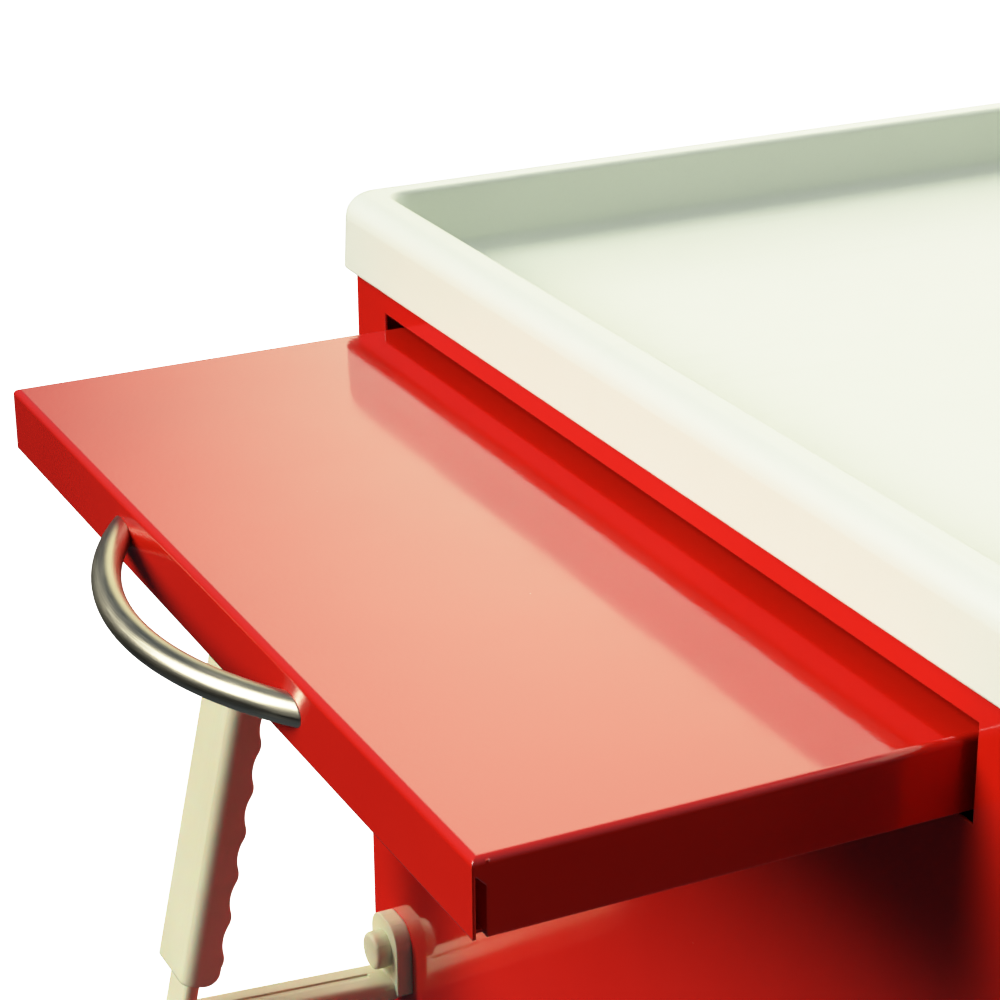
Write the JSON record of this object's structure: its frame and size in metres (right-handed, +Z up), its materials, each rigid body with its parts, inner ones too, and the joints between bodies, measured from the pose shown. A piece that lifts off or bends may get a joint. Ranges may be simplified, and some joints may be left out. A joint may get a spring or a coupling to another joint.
{
  "type": "rolling tool chest",
  "caption": "Rolling drawer chest with a moulded tray top, a pull-out side shelf with a bow pull, drawers on slides, corner push handles and swivel casters.",
  "frame": {"origin": "on the floor under the middle of the cabinet", "axes": "+Z up, the drawers open towards -Y, the side shelf pulls out towards -X"},
  "size_m": [1.0653, 0.653, 1.0375],
  "materials": {
    "red_enamel": "gloss powder coat, red",
    "cream_moulding": "satin cream moulded plastic",
    "cream_tray": "satin moulded plastic",
    "satin_nickel": "brushed nickel",
    "zinc_steel": "zinc-plated",
    "dark_steel": "satin black paint",
    "bumper_rubber": "matte",
    "tyre_grey": "matte non-marking rubber",
    "hub_plastic": "light grey moulding",
    "pedal_plastic": "red moulded plastic"
  },
  "bodies": {
    "cabinet": {"left_side_panel": "red_enamel", "right_side_panel": "red_enamel", "back_panel": "red_enamel", "top_deck": "zinc_steel", "bottom_pan": "zinc_steel", "shelf_bay_floor": "zinc_steel", "front_top_rail": "red_enamel", "divider_rails": "zinc_steel", "back_panel_screws": "zinc_steel", "top_tray": "cream_tray", "shelf_guides": "dark_steel", "slide_rails": "zinc_steel", "left_push_handle": "cream_moulding", "left_handle_grip": "cream_moulding", "right_push_handle": "cream_moulding", "right_handle_grip": "cream_moulding", "handle_caps": "cream_moulding", "lock_housing": "satin_nickel", "base_frame": "dark_steel", "corner_bumpers": "bumper_rubber", "caster_plates": "zinc_steel", "caster_bolts": "zinc_steel"},
    "shelf": {"side_shelf": "red_enamel", "side_shelf_pull": "satin_nickel"},
    "drawer_1": {"drawer_1_front": "red_enamel", "drawer_1_box": "zinc_steel", "drawer_1_pull": "satin_nickel", "drawer_1_runners": "zinc_steel"},
    "drawer_2": {"drawer_2_front": "red_enamel", "drawer_2_box": "zinc_steel", "drawer_2_pull": "satin_nickel", "drawer_2_runners": "zinc_steel"},
    "drawer_3": {"drawer_3_front": "red_enamel", "drawer_3_box": "zinc_steel", "drawer_3_pull": "satin_nickel", "drawer_3_runners": "zinc_steel"},
    "drawer_4": {"drawer_4_front": "red_enamel", "drawer_4_box": "zinc_steel", "drawer_4_pull": "satin_nickel", "drawer_4_runners": "zinc_steel"},
    "lock_plug": {"lock_cylinder": "satin_nickel"},
    "lock_bar": {"lock_bar": "zinc_steel"},
    "fork_front_left": {"caster_front_left_fork": "zinc_steel", "caster_front_left_axle": "zinc_steel"},
    "wheel_front_left": {"wheel_front_left_hub": "hub_plastic", "wheel_front_left_tyre": "tyre_grey"},
    "pedal_front_left": {"brake_pedal_front_left": "pedal_plastic"},
    "fork_front_right": {"caster_front_right_fork": "zinc_steel", "caster_front_right_axle": "zinc_steel"},
    "wheel_front_right": {"wheel_front_right_hub": "hub_plastic", "wheel_front_right_tyre": "tyre_grey"},
    "pedal_front_right": {"brake_pedal_front_right": "pedal_plastic"},
    "fork_rear_left": {"caster_rear_left_fork": "zinc_steel", "caster_rear_left_axle": "zinc_steel"},
    "wheel_rear_left": {"wheel_rear_left_hub": "hub_plastic", "wheel_rear_left_tyre": "tyre_grey"},
    "fork_rear_right": {"caster_rear_right_fork": "zinc_steel", "caster_rear_right_axle": "zinc_steel"},
    "wheel_rear_right": {"wheel_rear_right_hub": "hub_plastic", "wheel_rear_right_tyre": "tyre_grey"}
  },
  "joints": [
    {"name": "side_shelf_slide", "type": "slide", "parent": "cabinet", "child": "shelf", "axis": [-1, 0, 0], "range_m": [-0.189, 0]},
    {"name": "drawer_1_slide", "type": "slide", "parent": "cabinet", "child": "drawer_1", "axis": [0, -1, 0], "range_m": [0, 0.4]},
    {"name": "drawer_2_slide", "type": "slide", "parent": "cabinet", "child": "drawer_2", "axis": [0, -1, 0], "range_m": [0, 0.4]},
    {"name": "drawer_3_slide", "type": "slide", "parent": "cabinet", "child": "drawer_3", "axis": [0, -1, 0], "range_m": [0, 0.4]},
    {"name": "drawer_4_slide", "type": "slide", "parent": "cabinet", "child": "drawer_4", "axis": [0, -1, 0], "range_m": [0, 0.4]},
    {"name": "lock_turn", "type": "hinge", "parent": "cabinet", "child": "lock_plug", "pos_m": [0.288, -0.2925, 0.965], "axis": [0, -1, 0], "range_deg": [0, 90]},
    {"name": "lock_bar_lift", "type": "slide", "parent": "cabinet", "child": "lock_bar", "axis": [0, 0, 1], "range_m": [0, 0.0099]},
    {"name": "caster_front_left_swivel", "type": "hinge", "parent": "cabinet", "child": "fork_front_left", "pos_m": [-0.278, -0.22, 0.158], "axis": [0, 0, 1], "continuous": true},
    {"name": "wheel_front_left_spin", "type": "hinge", "parent": "fork_front_left", "child": "wheel_front_left", "pos_m": [-0.278, -0.258, 0.0625], "axis": [1, 0, 0], "continuous": true},
    {"name": "brake_front_left_press", "type": "hinge", "parent": "fork_front_left", "child": "pedal_front_left", "pos_m": [-0.278, -0.26, 0.134], "axis": [1, 0, 0], "range_deg": [0, 10]},
    {"name": "caster_front_right_swivel", "type": "hinge", "parent": "cabinet", "child": "fork_front_right", "pos_m": [0.278, -0.22, 0.158], "axis": [0, 0, 1], "continuous": true},
    {"name": "wheel_front_right_spin", "type": "hinge", "parent": "fork_front_right", "child": "wheel_front_right", "pos_m": [0.278, -0.258, 0.0625], "axis": [1, 0, 0], "continuous": true},
    {"name": "brake_front_right_press", "type": "hinge", "parent": "fork_front_right", "child": "pedal_front_right", "pos_m": [0.278, -0.26, 0.134], "axis": [1, 0, 0], "range_deg": [0, 10]},
    {"name": "caster_rear_left_swivel", "type": "hinge", "parent": "cabinet", "child": "fork_rear_left", "pos_m": [-0.278, 0.22, 0.158], "axis": [0, 0, 1], "continuous": true},
    {"name": "wheel_rear_left_spin", "type": "hinge", "parent": "fork_rear_left", "child": "wheel_rear_left", "pos_m": [-0.278, 0.182, 0.0625], "axis": [1, 0, 0], "continuous": true},
    {"name": "caster_rear_right_swivel", "type": "hinge", "parent": "cabinet", "child": "fork_rear_right", "pos_m": [0.278, 0.22, 0.158], "axis": [0, 0, 1], "continuous": true},
    {"name": "wheel_rear_right_spin", "type": "hinge", "parent": "fork_rear_right", "child": "wheel_rear_right", "pos_m": [0.278, 0.182, 0.0625], "axis": [1, 0, 0], "continuous": true}
  ],
  "couplings": [
    {"joint": "lock_turn", "follows": "lock_bar_lift", "rad_per_m": 158.6}
  ]
}
